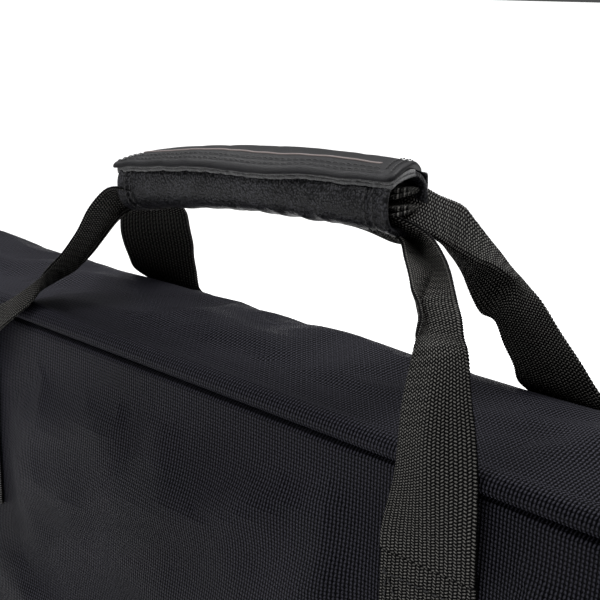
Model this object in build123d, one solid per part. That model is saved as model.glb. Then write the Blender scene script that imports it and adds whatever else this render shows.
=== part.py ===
from build123d import *
import math
import os

# A padded gig bag for a slim keyboard, standing on its long narrow side.
# Millimetres. +X runs along the bag, +Y points out of the lid, +Z is up.
# The origin is the centre of the flat underside.

os.makedirs("parts", exist_ok=True)

# The bag's outer form
HALF_LENGTH = 490.0
NEAR_Y = -56.0  # the plain panel
FAR_Y = 56.6  # the lid's outer face
RIDGE_Z = 360.0  # the seam between the plain panel and the top
CROWN_Z = 364.3  # the highest line of the top
SHOULDER_R = 60.0  # the top rolls over to the lid with this radius
END_R = 22.0  # the ends roll over to the lid
BASE_R = 12.0  # the underside rolls over to the lid
CORNER_R = 45.0  # the four corners, seen from the front
SHOULDER_Y = FAR_Y - SHOULDER_R
SHOULDER_Z = CROWN_Z - SHOULDER_R
SHOULDER_ANGLES = (0, 14, 28, 40, 50, 60, 70, 80, 90)
CORNER_X = HALF_LENGTH - CORNER_R
MID_Z = RIDGE_Z / 2
FAR_OUT = 2000.0  # larger than the bag, for cutting boxes

# The layers of its walls, as depths below the outer surface
COVER = 1.0
FOAM_OUTER, FOAM_INNER = 1.6, 8.6
LINING_OUTER, LINING_INNER = 9.0, 9.6

# The zip: one plane all round the top and both ends
ZIP_Y = 40.5
ZIP_HALF_GAP = 5.0  # from the middle of the zip to the cover's edge
COIL_WIDTH = 1.6
COIL_CLEAR = 0.45  # from the middle of the zip to a coil, so that a slider's post passes
COIL_PROUD, COIL_DEPTH = 0.8, 1.6
TAPE_OUTER, TAPE_INNER = 0.2, 0.8
COIL_LOW_Z = 22.0
STOP_LENGTH = 4.0
FOAM_GAP = 9.0  # the foam stops this far short of the zip
ZIP_ANGLE = math.asin((ZIP_Y - SHOULDER_Y) / SHOULDER_R)
ZIP_Z = SHOULDER_Z + SHOULDER_R * math.cos(ZIP_ANGLE)

# The lid's fabric hinge
HINGE_Z = BASE_R
TAPE_LOW_Z = 12.3
LID_LOW_Z = 13.5
LID_FOAM_LOW_Z = 15.0

# Sliders and their pulls, in the zip's own frame: x along, y across, z outwards
SLIDER_X = 12.0
SLIDER_SIZE = (9.0, 8.0)
SLIDER_TOP = (1.1, 2.1)
SLIDER_BOTTOM = (-3.0, -2.0)
POST_SIZE = (3.0, 0.5)
POST_ROOT = 0.3  # how far the post runs into each plate
BAIL_LENGTH, BAIL_WIDTH, BAIL_TOP = 7.4, 1.8, 5.4
BAIL_WINDOW = (4.6, 2.0)
PULL_PIVOT_Z = 3.2
PULL_BAR_R = 0.6
PULL_ARM_Y = 1.9
PULL_ARM_WIDTH = 1.2
PULL_WIDTH, PULL_LENGTH, PULL_THICK = 7.0, 32.0, 1.5
PULL_ROOT, PULL_EYE_R = 6.0, 1.6

# Webbing handle
WEB_WIDTH, WEB_THICK = 38.0, 1.8
LIFT = 0.1  # sewn webbing lies this far off the fabric
NEAR_LEG_X, FAR_LEG_X = (-147.0, 119.0), (-112.0, 112.0)  # the middles of the sewn ends
NEAR_SEWN_LOW, NEAR_SEWN_HIGH = 262.0, 330.0
FAR_SEWN_ANGLES = (20.0, 40.0)
FOLDED_WIDTH, FOLDED_THICK = 19.0, 3.4  # the webbing doubled lengthways in the grip
RUN_Z = 3.2  # the two doubled webbings lie this far above and below the grip's middle
LEG_REACH = 2.0  # a leg starts this far beyond the grip's end
# Points along the middle of each free leg, from where it leaves the bag towards the grip
NEAR_LEG_RIGHT = ((119, -58.9, 332.5), (118, -59, 376), (108, -50, 403), (95, -39, 413))
NEAR_LEG_LEFT = ((-147, -59.1, 335), (-139, -60, 356), (-112, -56, 377), (-96, -42, 391))
FAR_LEG_RIGHT = ((112, 21, 368), (107, 19, 384), (99, 12, 409), (90, 3, 424))
FAR_LEG_LEFT = ((-112, 21, 368), (-107, 18, 382), (-99, 11, 399), (-93, 0, 413))

# The grip, in its own frame: x along it, y to the lid's side, z up
GRIP_CENTRE = (1.0, -19.0, 424.0)
GRIP_TILT = 4.6
GRIP_LENGTH = 150.0
SLEEVE_Y, SLEEVE_LOW, SLEEVE_HIGH = 15.0, -12.5, 9.5
SLEEVE_R = 9.0
SKIN, PAD = 0.9, 2.4
SLIT = 2.0
STRIP_THICK, STRIP_Y = 0.7, 11.0
FLAP_FRONT, FLAP_THICK = 16.5, 1.6
FLAP_LENGTH = 152.0

# Patch pocket on the lid
POCKET_HALF, POCKET_LOW, POCKET_HIGH = 320.0, 60.0, 250.0
POCKET_THICK, POCKET_LIFT = 2.0, 0.1
POCKET_R = 12.0
POCKET_ZIP_Z = 262.0
POCKET_TAPE = (1.5, 2.2)  # how far the tape's two faces stand off the lid
POCKET_TAPE_HALF = 11.0
POCKET_HEM = 4.0  # the upper tape is folded down to the lid over this width
POCKET_COIL = (1.2, 2.7)
POCKET_SLIDER_X = -300.0
POCKET_SLIDER_LOWER = (0.15, 0.95)
POCKET_SLIDER_UPPER = (2.9, 4.0)
STUD_R, STUD_HEAD_R, STUD_CLEAR = 1.2, 2.4, 0.2
STUD_LENGTH, STUD_HEAD = 2.2, 0.8
POCKET_PULL_LENGTH, POCKET_PULL_EYE = 29.0, 4.0

# Strap rings at the two ends
RING_Y, RING_Z = -8.0, 280.0
RING_HALF, RING_BAND, RING_THICK = 18.0, 4.0, 3.0
RING_ARM = 6.0
RING_BAR_R, TAB_BORE_R = 2.0, 2.4
TAB_WIDTH, TAB_TOP = 24.0, 314.0
TAB_LOOP_R = TAB_BORE_R + WEB_THICK
RING_X = HALF_LENGTH + LIFT + TAB_LOOP_R


def export(name, *shapes):
    """Writes one node from its solids."""
    solids = [s for shape in shapes for s in shape.solids()]
    export_step(solids[0] if len(solids) == 1 else Compound(solids), f"parts/{name}.step")


def span(x=(-FAR_OUT, FAR_OUT), y=(-FAR_OUT, FAR_OUT), z=(-FAR_OUT, FAR_OUT)):
    """A box given by its low and high value along each axis."""
    middle = [(low + high) / 2 for low, high in (x, y, z)]
    return Pos(*middle) * Box(x[1] - x[0], y[1] - y[0], z[1] - z[0])


def arc_drop(radius, inset, beyond):
    """How far a rounded edge has fallen back, this far beyond where its arc starts."""
    if beyond <= 0:
        return inset
    return radius - math.sqrt(max((radius - inset) ** 2 - beyond**2, 0.0))


def section(y, inset):
    """The bag's outline at depth y, as a face, moved inwards by inset."""
    rise = min(max((y - NEAR_Y) / (SHOULDER_Y - NEAR_Y), 0.0), 1.0)
    top = RIDGE_Z + (CROWN_Z - RIDGE_Z) * math.sin(rise * math.pi / 2)
    top -= arc_drop(SHOULDER_R, inset, y - SHOULDER_Y)
    base = arc_drop(BASE_R, inset, y - (FAR_Y - BASE_R))
    half = HALF_LENGTH - arc_drop(END_R, inset, y - (FAR_Y - END_R))
    plane = Plane(origin=(0, y, (top + base) / 2), x_dir=(1, 0, 0), z_dir=(0, -1, 0))
    return plane * RectangleRounded(2 * half, top - base, CORNER_R - inset)


def form(inset):
    """The whole bag as one solid, moved inwards by inset."""
    radius = SHOULDER_R - inset
    stations = [NEAR_Y + inset, (NEAR_Y + SHOULDER_Y) / 2]
    stations += [SHOULDER_Y + radius * math.sin(math.radians(a)) for a in SHOULDER_ANGLES]
    return loft([section(y, inset) for y in stations], ruled=True)


def plate(inset, near, far):
    """A flat panel across the whole bag, between two depths, with the outline at the first."""
    return extrude(section(near, inset), amount=far - near, dir=(0, 1, 0))


def gusset(layer, near, far):
    """The ring of a layer between two depths, cut into top, bottom, left and right."""
    ring = layer & span(y=(near, far))
    return {
        "top": ring & span(x=(-CORNER_X, CORNER_X), z=(MID_Z, FAR_OUT)),
        "bottom": ring & span(x=(-CORNER_X, CORNER_X), z=(-FAR_OUT, MID_Z)),
        "left": ring & span(x=(-FAR_OUT, -CORNER_X)),
        "right": ring & span(x=(CORNER_X, FAR_OUT)),
    }


def make_shell_and_lid():
    """Covers, foam and linings of the shell and the lid."""
    outer, under_cover = form(0), form(COVER)
    cover = outer - under_cover
    export("cover_near_panel", plate(0, NEAR_Y, NEAR_Y + COVER))
    for side, piece in gusset(cover, NEAR_Y + COVER, ZIP_Y - ZIP_HALF_GAP).items():
        export(f"cover_{side}_gusset", piece)
    export("lid_hinge_strip", cover & span(y=(ZIP_Y - ZIP_HALF_GAP, FAR_OUT), z=(-FAR_OUT, HINGE_Z)))
    export("cover_lid", cover & span(y=(ZIP_Y + ZIP_HALF_GAP, FAR_OUT), z=(LID_LOW_Z, FAR_OUT)))

    foam_form = form(FOAM_OUTER)
    foam = foam_form - form(FOAM_INNER)
    export("foam_near_panel", plate(FOAM_OUTER, NEAR_Y + FOAM_OUTER, NEAR_Y + FOAM_INNER))
    for side, piece in gusset(foam, NEAR_Y + FOAM_INNER, ZIP_Y - FOAM_GAP).items():
        export(f"foam_{side}", piece)
    lid_foam = foam_form & span(y=(FAR_Y - FOAM_INNER, FAR_OUT), z=(LID_FOAM_LOW_Z, FAR_OUT))
    export("foam_lid", lid_foam)

    lining_form = form(LINING_OUTER)
    lining = lining_form - form(LINING_INNER)
    export("lining_near_panel", plate(LINING_OUTER, NEAR_Y + LINING_OUTER, NEAR_Y + LINING_INNER))
    export("lining_gusset", lining & span(y=(NEAR_Y + LINING_INNER, ZIP_Y - FOAM_GAP)))
    lid_lining = lining_form & span(y=(FAR_Y - LINING_INNER, FAR_OUT), z=(LID_FOAM_LOW_Z, FAR_OUT))
    export("lining_lid", lid_lining)


def zip_frame(x):
    """The plane on the zip's middle line at x: x along the zip, z out of the bag."""
    normal = (0, math.sin(ZIP_ANGLE), math.cos(ZIP_ANGLE))
    return Plane(origin=(x, ZIP_Y, ZIP_Z), x_dir=(1, 0, 0), z_dir=normal)


def make_zip():
    """Tapes, coils and end stops of the main zip."""
    tape = (form(TAPE_OUTER) - form(TAPE_INNER)) & span(z=(TAPE_LOW_Z, FAR_OUT))
    proud = form(-COIL_PROUD) - form(COIL_DEPTH)
    coil = proud & span(z=(COIL_LOW_Z, FAR_OUT))
    coil_far = COIL_CLEAR + COIL_WIDTH
    for side, sign in (("shell", -1), ("lid", 1)):
        tape_edges = sorted((ZIP_Y + sign * ZIP_HALF_GAP, ZIP_Y + sign * coil_far))
        coil_edges = sorted((ZIP_Y + sign * COIL_CLEAR, ZIP_Y + sign * coil_far))
        export(f"zip_tape_{side}", tape & span(y=tape_edges))
        export(f"zip_coil_{side}", coil & span(y=coil_edges))
    stop_z = (COIL_LOW_Z - STOP_LENGTH, COIL_LOW_Z)
    export("zip_end_stops", proud & span(y=(ZIP_Y - coil_far, ZIP_Y - COIL_CLEAR), z=stop_z))


def slider_plate(low, high):
    """One of a slider's two plates, between two heights."""
    plate_box = Pos(0, 0, (low + high) / 2) * Box(*SLIDER_SIZE, high - low)
    return fillet(plate_box.edges().filter_by(Axis.Z), 2.0)


def slider_post(low, high):
    """The thin post between a slider's plates, which runs between the coils."""
    return Pos(0, 0, (low + high) / 2) * Box(*POST_SIZE, high - low)


def main_slider():
    """A zip slider: two plates, the upright post between them and the bail that holds the pull."""
    body = slider_plate(*SLIDER_TOP) + slider_plate(*SLIDER_BOTTOM)
    low = (SLIDER_BOTTOM[1] - POST_ROOT) / math.cos(ZIP_ANGLE)
    high = (SLIDER_TOP[0] + POST_ROOT) / math.cos(ZIP_ANGLE)
    body += Rot(math.degrees(ZIP_ANGLE), 0, 0) * slider_post(low, high)
    height = BAIL_TOP - SLIDER_TOP[1]
    arch = Pos(0, 0, SLIDER_TOP[1] + height / 2) * Box(BAIL_LENGTH, BAIL_WIDTH, height)
    arch = fillet(arch.edges().filter_by(Axis.Y).sort_by(Axis.Z)[-2:], 1.0)
    window = Pos(0, 0, PULL_PIVOT_Z) * Box(BAIL_WINDOW[0], 2 * BAIL_WIDTH, BAIL_WINDOW[1])
    return body + (arch - window)


def pull_tab(start, length):
    """A flat rounded tab along x, from start."""
    tab = Pos(start + length / 2, 0, 0) * Box(length, PULL_WIDTH, PULL_THICK)
    return fillet(tab.edges().filter_by(Axis.Z), 2.2)


def fork_pull():
    """A pull whose bar runs through the slider's bail, lying along +x."""
    pull = Rot(90, 0, 0) * Cylinder(PULL_BAR_R, 2 * PULL_ARM_Y)
    pull += pull_tab(PULL_ROOT, PULL_LENGTH)
    pull -= Pos(PULL_ROOT + PULL_LENGTH - 5, 0, 0) * Cylinder(PULL_EYE_R, 2 * PULL_THICK)
    for y in (-PULL_ARM_Y, PULL_ARM_Y):
        pull += Pos(PULL_ROOT / 2 + 0.5, y, 0) * Box(PULL_ROOT + 2, PULL_ARM_WIDTH, PULL_THICK)
    return Pos(0, 0, PULL_PIVOT_Z) * pull


def make_sliders():
    """The two sliders of the main zip, meeting in the middle of the top."""
    for side, sign, turn in (("left", -1, 180), ("right", 1, 0)):
        place = zip_frame(sign * SLIDER_X)
        export(f"slider_{side}", place * main_slider())
        export(f"slider_pull_{side}", place * (Rot(0, 0, turn) * fork_pull()))


def make_pocket():
    """A flat patch pocket on the lid, closed by its own zip."""
    face = FAR_Y + POCKET_LIFT
    x = (-POCKET_HALF, POCKET_HALF)
    plane = Plane(origin=(0, face, (POCKET_HIGH + POCKET_LOW) / 2), x_dir=(1, 0, 0), z_dir=(0, 1, 0))
    outline = RectangleRounded(2 * POCKET_HALF, POCKET_HIGH - POCKET_LOW, POCKET_R)
    export("pocket_panel", extrude(plane * outline, amount=POCKET_THICK))

    tape_y = (face + POCKET_TAPE[0], face + POCKET_TAPE[1])
    coil_far = COIL_CLEAR + COIL_WIDTH
    hem_z = POCKET_ZIP_Z + POCKET_TAPE_HALF
    lower = span(x=x, y=tape_y, z=(POCKET_HIGH + LIFT, POCKET_ZIP_Z - coil_far))
    upper = span(x=x, y=tape_y, z=(POCKET_ZIP_Z + coil_far, hem_z))
    upper += span(x=x, y=(face, tape_y[1]), z=(hem_z, hem_z + POCKET_HEM))
    export("pocket_zip_tapes", lower, upper)
    coil_y = (face + POCKET_COIL[0], face + POCKET_COIL[1])
    lower_coil = span(x=x, y=coil_y, z=(POCKET_ZIP_Z - coil_far, POCKET_ZIP_Z - COIL_CLEAR))
    upper_coil = span(x=x, y=coil_y, z=(POCKET_ZIP_Z + COIL_CLEAR, POCKET_ZIP_Z + coil_far))
    export("pocket_zip_coils", lower_coil, upper_coil)

    place = Plane(origin=(POCKET_SLIDER_X, face, POCKET_ZIP_Z), x_dir=(1, 0, 0), z_dir=(0, 1, 0))
    body = slider_plate(*POCKET_SLIDER_LOWER) + slider_plate(*POCKET_SLIDER_UPPER)
    body += slider_post(POCKET_SLIDER_LOWER[1], POCKET_SLIDER_UPPER[0])
    stud_z = POCKET_SLIDER_UPPER[1]
    body += Pos(0, 0, stud_z + STUD_LENGTH / 2) * Cylinder(STUD_R, STUD_LENGTH)
    body += Pos(0, 0, stud_z + STUD_LENGTH + STUD_HEAD / 2) * Cylinder(STUD_HEAD_R, STUD_HEAD)
    export("pocket_slider", place * body)
    tab = pull_tab(-POCKET_PULL_EYE, POCKET_PULL_LENGTH)
    tab -= Cylinder(STUD_R + STUD_CLEAR, 2 * PULL_THICK)
    hanging = Rot(0, 0, 90) * tab
    export("pocket_pull", place * (Pos(0, 0, stud_z + STUD_LENGTH / 2) * hanging))


def grip_frame():
    """The plane of the grip: x along it, y to the lid's side."""
    tilt = math.radians(GRIP_TILT)
    along, up = (math.cos(tilt), 0, math.sin(tilt)), (-math.sin(tilt), 0, math.cos(tilt))
    return Plane(origin=GRIP_CENTRE, x_dir=along, z_dir=up)


def leg(route, side, run_z):
    """One free leg of a webbing loop, turning from flat across the bag to doubled along the grip."""
    end = grip_frame().from_local_coords(Vector(side * (GRIP_LENGTH / 2 + LEG_REACH), run_z, run_z))
    points = [Vector(*point) for point in route] + [end]
    faces = []
    for i, point in enumerate(points):
        ahead = points[min(i + 1, len(points) - 1)] - points[max(i - 1, 0)]
        ahead = grip_frame().x_dir * -side if point is end else ahead.normalized()
        turned = max(i - 1, 0) / (len(points) - 2)
        angle = math.radians(90 * turned)
        across = Vector(math.cos(angle), side * math.sin(angle), 0)
        across = (across - ahead * across.dot(ahead)).normalized()
        width = WEB_WIDTH + (FOLDED_WIDTH - WEB_WIDTH) * turned
        thick = WEB_THICK + (FOLDED_THICK - WEB_THICK) * turned
        faces.append(Plane(origin=point, x_dir=across, z_dir=ahead) * Rectangle(width, thick))
    return loft(faces, ruled=True)


def make_handle_straps():
    """The two webbing loops: sewn ends, free legs and the doubled runs in the grip."""
    near_ends, far_ends = [], []
    far_skin = form(-LIFT - WEB_THICK) - form(-LIFT)
    far_y = [SHOULDER_Y + SHOULDER_R * math.sin(math.radians(a)) for a in FAR_SEWN_ANGLES]
    near_y = (NEAR_Y - LIFT - WEB_THICK, NEAR_Y - LIFT)
    for near_x, far_x in zip(NEAR_LEG_X, FAR_LEG_X):
        near_span = (near_x - WEB_WIDTH / 2, near_x + WEB_WIDTH / 2)
        far_span = (far_x - WEB_WIDTH / 2, far_x + WEB_WIDTH / 2)
        near_ends.append(span(x=near_span, y=near_y, z=(NEAR_SEWN_LOW, NEAR_SEWN_HIGH)))
        far_ends.append(far_skin & span(x=far_span, y=far_y, z=(MID_Z, FAR_OUT)))
    export("strap_near_sewn_ends", *near_ends)
    export("strap_far_sewn_ends", *far_ends)
    export("strap_near_leg_left", leg(NEAR_LEG_LEFT, -1, -RUN_Z))
    export("strap_near_leg_right", leg(NEAR_LEG_RIGHT, 1, -RUN_Z))
    export("strap_far_leg_left", leg(FAR_LEG_LEFT, -1, RUN_Z))
    export("strap_far_leg_right", leg(FAR_LEG_RIGHT, 1, RUN_Z))
    for name, height in (("near", -RUN_Z), ("far", RUN_Z)):
        run = Pos(0, 0, height) * Box(GRIP_LENGTH, FOLDED_WIDTH, FOLDED_THICK)
        export(f"strap_{name}_run", grip_frame() * run)


def sleeve_block(inset):
    """The grip's sleeve as a solid bar, moved inwards by inset."""
    height = SLEEVE_HIGH - SLEEVE_LOW - 2 * inset
    outline = RectangleRounded(2 * (SLEEVE_Y - inset), height, SLEEVE_R - inset)
    plane = Plane(origin=(-GRIP_LENGTH / 2, 0, (SLEEVE_HIGH + SLEEVE_LOW) / 2), x_dir=(0, 1, 0), z_dir=(1, 0, 0))
    return extrude(plane * outline, amount=GRIP_LENGTH)


def make_grip():
    """The wrapped grip: skin, pad, the hook-and-loop strips and the flap."""
    place = grip_frame()
    slit = span(y=(SLEEVE_Y - SLEEVE_R - SLIT, SLEEVE_Y - SLEEVE_R), z=(0, FAR_OUT))
    skin = sleeve_block(0) - sleeve_block(SKIN) - slit
    pad = sleeve_block(SKIN) - sleeve_block(SKIN + PAD) - slit
    export("grip_sleeve_skin", place * skin)
    export("grip_sleeve_pad", place * pad)
    half = GRIP_LENGTH / 2 - 4
    loop_z = (SLEEVE_HIGH, SLEEVE_HIGH + STRIP_THICK)
    hook_z = (loop_z[1] + 0.05, loop_z[1] + 0.05 + STRIP_THICK)
    flat_y = (-STRIP_Y, SLEEVE_Y - SLEEVE_R - SLIT)
    export("grip_loop_strip", place * span(x=(-half, half), y=flat_y, z=loop_z))
    export("grip_hook_strip", place * span(x=(-half, half), y=flat_y, z=hook_z))
    flap_half = FLAP_LENGTH / 2
    flap_z = (hook_z[1], hook_z[1] + FLAP_THICK)
    flap = span(x=(-flap_half, flap_half), y=(-FLAP_FRONT, SLEEVE_Y), z=flap_z)
    front_corners = flap.edges().filter_by(Axis.Z).sort_by(Axis.Y)[:2]
    export("grip_flap", place * fillet(front_corners, 5.0))


def d_ring():
    """A flat D-shaped ring in the YZ plane, hanging from a round bar at its origin."""
    plane = Plane(origin=(-RING_THICK / 2, 0, 0), x_dir=(0, 1, 0), z_dir=(1, 0, 0))
    inner = RING_HALF - RING_BAND
    outline = Pos(0, -RING_ARM / 2) * Rectangle(2 * RING_HALF, RING_ARM) + Pos(0, -RING_ARM) * Circle(RING_HALF)
    hole = Pos(0, -RING_ARM / 2 + 5) * Rectangle(2 * inner, RING_ARM + 10) + Pos(0, -RING_ARM) * Circle(inner)
    ring = extrude(plane * outline, amount=RING_THICK) - extrude(plane * hole, amount=RING_THICK)
    ring = ring & span(z=(-FAR_OUT, 0))
    return ring + Rot(90, 0, 0) * Cylinder(RING_BAR_R, 2 * RING_HALF)


def make_strap_rings():
    """A ring in a sewn webbing tab at each end, for a shoulder strap."""
    for name, sign in (("left", -1), ("right", 1)):
        place = Pos(sign * RING_X, RING_Y, RING_Z)
        export(f"strap_ring_{name}", place * d_ring())
        loop = Rot(90, 0, 0) * Cylinder(TAB_LOOP_R, TAB_WIDTH)
        layers_x = sorted((-sign * TAB_LOOP_R, -sign * (TAB_LOOP_R - 2 * WEB_THICK)))
        layers = span(x=tuple(layers_x), y=(-TAB_WIDTH / 2, TAB_WIDTH / 2), z=(0, TAB_TOP - RING_Z))
        bore = Rot(90, 0, 0) * Cylinder(TAB_BORE_R, 2 * TAB_WIDTH)
        export(f"strap_ring_tab_{name}", place * (loop + layers - bore))


make_shell_and_lid()
make_zip()
make_sliders()
make_pocket()
make_handle_straps()
make_grip()
make_strap_rings()
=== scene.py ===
import math

import bmesh
import bpy
from mathutils import Matrix, Vector, noise


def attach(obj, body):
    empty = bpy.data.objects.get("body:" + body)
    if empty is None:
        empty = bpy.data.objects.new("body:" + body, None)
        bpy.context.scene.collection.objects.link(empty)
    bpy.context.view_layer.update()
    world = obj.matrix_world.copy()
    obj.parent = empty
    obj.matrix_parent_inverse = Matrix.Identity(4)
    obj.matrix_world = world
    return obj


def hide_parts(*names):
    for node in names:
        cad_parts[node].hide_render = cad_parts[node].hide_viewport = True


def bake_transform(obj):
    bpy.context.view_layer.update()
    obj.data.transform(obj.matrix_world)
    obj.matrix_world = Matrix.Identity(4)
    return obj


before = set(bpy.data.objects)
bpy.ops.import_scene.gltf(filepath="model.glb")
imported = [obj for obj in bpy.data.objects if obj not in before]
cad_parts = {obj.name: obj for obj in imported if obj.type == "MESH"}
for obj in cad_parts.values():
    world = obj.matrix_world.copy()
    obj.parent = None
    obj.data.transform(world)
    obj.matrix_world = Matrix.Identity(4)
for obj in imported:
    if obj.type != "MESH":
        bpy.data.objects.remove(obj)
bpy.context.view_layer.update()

# A padded gig bag. Lengths below are millimetres in the model's own frame; meshes are made in metres.
MM = 0.001

# The bag's outer form, as in the model
HALF, NEAR, FAR = 490.0, -56.0, 56.6
RIDGE_Z, CROWN_Z = 360.0, 364.3
SHOULDER_R, END_R, BASE_R, CORNER_R = 60.0, 22.0, 12.0, 45.0
SHOULDER_Y, SHOULDER_Z = FAR - SHOULDER_R, CROWN_Z - SHOULDER_R
ZIP_Y, ZIP_GAP = 40.5, 5.0
LID_LOW = 13.5
# Where the rounded corners begin, seen from the near side
CORNER_X, CORNER_TOP, CORNER_LOW = HALF - CORNER_R, RIDGE_Z - CORNER_R, CORNER_R
WEB_WIDTH = 38.0
GRIP = Vector((1.0, -19.0, 424.0))
GRIP_TILT = math.radians(4.6)
NEAR_ROOTS, FAR_ROOTS = (-150, 119), (-112, 112)


def lerp(a, b, t):
    return a + (b - a) * t


def smooth(low, high, value):
    t = min(max((value - low) / (high - low), 0.0), 1.0)
    return t * t * (3 - 2 * t)


# ---------------------------------------------------------------- mesh making

def make_object(name, verts, faces, uvs=None, material=None, thickness=0.0, shade=True):
    mesh = bpy.data.meshes.new(name)
    mesh.from_pydata([Vector(v) * MM for v in verts], [], faces)
    if uvs is not None:
        layer = mesh.uv_layers.new(name="cloth")
        for loop in mesh.loops:
            layer.data[loop.index].uv = uvs[loop.vertex_index]
    obj = bpy.data.objects.new(name, mesh)
    bpy.context.scene.collection.objects.link(obj)
    if material is not None:
        mesh.materials.append(material)
    if shade:
        mesh.shade_smooth()
    if thickness:
        apply_modifier(obj, "SOLIDIFY", thickness=thickness * MM, offset=-1.0)
    return obj


def apply_modifier(obj, kind, **settings):
    modifier = obj.modifiers.new(kind.lower(), kind)
    for key, value in settings.items():
        setattr(modifier, key, value)
    depsgraph = bpy.context.evaluated_depsgraph_get()
    mesh = bpy.data.meshes.new_from_object(obj.evaluated_get(depsgraph))
    obj.modifiers.clear()
    old = obj.data
    obj.data = mesh
    bpy.data.meshes.remove(old)
    mesh.name = obj.name


def grid_faces(rows, cols, closed=False, start=0):
    faces = []
    span = cols if closed else cols - 1
    for j in range(rows - 1):
        for i in range(span):
            k = (i + 1) % cols
            low, high = start + j * cols, start + (j + 1) * cols
            faces.append((low + i, low + k, high + k, high + i))
    return faces


def grid_object(name, rows, material, closed=False, uv=None, thickness=0.0, cap=False):
    """A sheet through rows of points. uv(i, j, point) defaults to the distances along and across."""
    cols = len(rows[0])
    verts = [p for row in rows for p in row]
    faces = grid_faces(len(rows), cols, closed)
    if cap:
        faces.append(tuple(range(cols))[::-1])
        faces.append(tuple(range(len(verts) - cols, len(verts))))
    middle = rows[len(rows) // 2]
    along = [0.0]
    for a, b in zip(middle, middle[1:]):
        along.append(along[-1] + (Vector(b) - Vector(a)).length)
    down = [0.0]
    for a, b in zip(rows, rows[1:]):
        down.append(down[-1] + (Vector(b[cols // 2]) - Vector(a[cols // 2])).length)
    uvs = []
    for j, row in enumerate(rows):
        for i, point in enumerate(row):
            uvs.append(uv(i, j, point) if uv else (along[i], down[j]))
    return make_object(name, verts, faces, uvs, material, thickness)


def join(name, objects):
    """One object out of several, keeping materials and cloth coordinates."""
    target = bmesh.new()
    materials = []
    for obj in objects:
        mesh = obj.data
        remap = []
        for material in mesh.materials:
            if material not in materials:
                materials.append(material)
            remap.append(materials.index(material))
        for polygon in mesh.polygons:
            polygon.material_index = remap[polygon.material_index] if remap else 0
        target.from_mesh(mesh)
        bpy.data.objects.remove(obj)
    mesh = bpy.data.meshes.new(name)
    target.to_mesh(mesh)
    target.free()
    for material in materials:
        mesh.materials.append(material)
    joined = bpy.data.objects.new(name, mesh)
    bpy.context.scene.collection.objects.link(joined)
    return joined


def normals_of(rows, closed):
    """The unit normal at each point of a grid."""
    count, cols = len(rows), len(rows[0])
    result = []
    for j in range(count):
        line = []
        for i in range(cols):
            left = rows[j][(i - 1) % cols if closed else max(i - 1, 0)]
            right = rows[j][(i + 1) % cols if closed else min(i + 1, cols - 1)]
            down, up = rows[max(j - 1, 0)][i], rows[min(j + 1, count - 1)][i]
            normal = (right - left).cross(up - down)
            line.append(normal.normalized() if normal.length > 1e-9 else Vector((0, 0, 0)))
        result.append(line)
    return result


def catmull(points, t):
    """A point on the smooth curve through the points, t from 0 to 1."""
    spans = len(points) - 1
    k = min(int(t * spans), spans - 1)
    f = t * spans - k
    p0, p1 = Vector(points[max(k - 1, 0)]), Vector(points[k])
    p2, p3 = Vector(points[k + 1]), Vector(points[min(k + 2, spans)])
    return 0.5 * ((2 * p1) + (p2 - p0) * f + (2 * p0 - 5 * p1 + 4 * p2 - p3) * f * f
                  + (3 * p1 - p0 - 3 * p2 + p3) * f ** 3)


# ---------------------------------------------------------------- materials

class Shader:
    """A material's node tree with short calls for its nodes."""

    def __init__(self, name, color, rough, **inputs):
        self.material = bpy.data.materials.new(name)
        self.material.use_nodes = True
        self.tree = self.material.node_tree
        self.bsdf = self.tree.nodes["Principled BSDF"]
        self.bsdf.inputs["Base Color"].default_value = (*color, 1)
        self.bsdf.inputs["Roughness"].default_value = rough
        for key, value in inputs.items():
            self.bsdf.inputs[key.replace("_", " ")].default_value = value

    def node(self, kind, **settings):
        node = self.tree.nodes.new(kind)
        for key, value in settings.items():
            setattr(node, key, value)
        return node

    def link(self, source, target):
        self.tree.links.new(source, target)

    def math(self, operation, a, b=None, c=None):
        node = self.node("ShaderNodeMath", operation=operation)
        for socket, value in zip(node.inputs, (a, b, c)):
            if value is None:
                continue
            if isinstance(value, (int, float)):
                socket.default_value = value
            else:
                self.link(value, socket)
        return node.outputs[0]

    def cloth(self):
        """The two cloth coordinates, in millimetres along and across the piece."""
        uv = self.node("ShaderNodeUVMap", uv_map="cloth")
        split = self.node("ShaderNodeSeparateXYZ")
        self.link(uv.outputs[0], split.inputs[0])
        return split.outputs[0], split.outputs[1]

    def position(self):
        return self.node("ShaderNodeTexCoord").outputs["Object"]

    def noise(self, scale, detail=2.0, rough=0.5, vector=None):
        node = self.node("ShaderNodeTexNoise")
        node.inputs["Scale"].default_value = scale
        node.inputs["Detail"].default_value = detail
        node.inputs["Roughness"].default_value = rough
        self.link(vector or self.position(), node.inputs["Vector"])
        return node.outputs[0]

    def ramp(self, factor, stops):
        node = self.node("ShaderNodeValToRGB")
        elements = node.color_ramp.elements
        for k, (place, color) in enumerate(stops):
            element = elements[k] if k < 2 else elements.new(place)
            element.position = place
            element.color = (*color, 1)
        self.link(factor, node.inputs[0])
        return node.outputs[0]

    def color(self, factor, stops):
        self.link(self.ramp(factor, stops), self.bsdf.inputs["Base Color"])

    def rough(self, factor, low, high):
        node = self.node("ShaderNodeMapRange")
        node.inputs["To Min"].default_value = low
        node.inputs["To Max"].default_value = high
        self.link(factor, node.inputs["Value"])
        self.link(node.outputs[0], self.bsdf.inputs["Roughness"])

    def bump(self, height, millimetres, strength=1.0):
        node = self.node("ShaderNodeBump")
        node.inputs["Distance"].default_value = millimetres * MM
        node.inputs["Strength"].default_value = strength
        self.link(height, node.inputs["Height"])
        previous = self.bsdf.inputs["Normal"].links
        if previous:
            self.link(previous[0].from_socket, node.inputs["Normal"])
        self.link(node.outputs[0], self.bsdf.inputs["Normal"])


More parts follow.
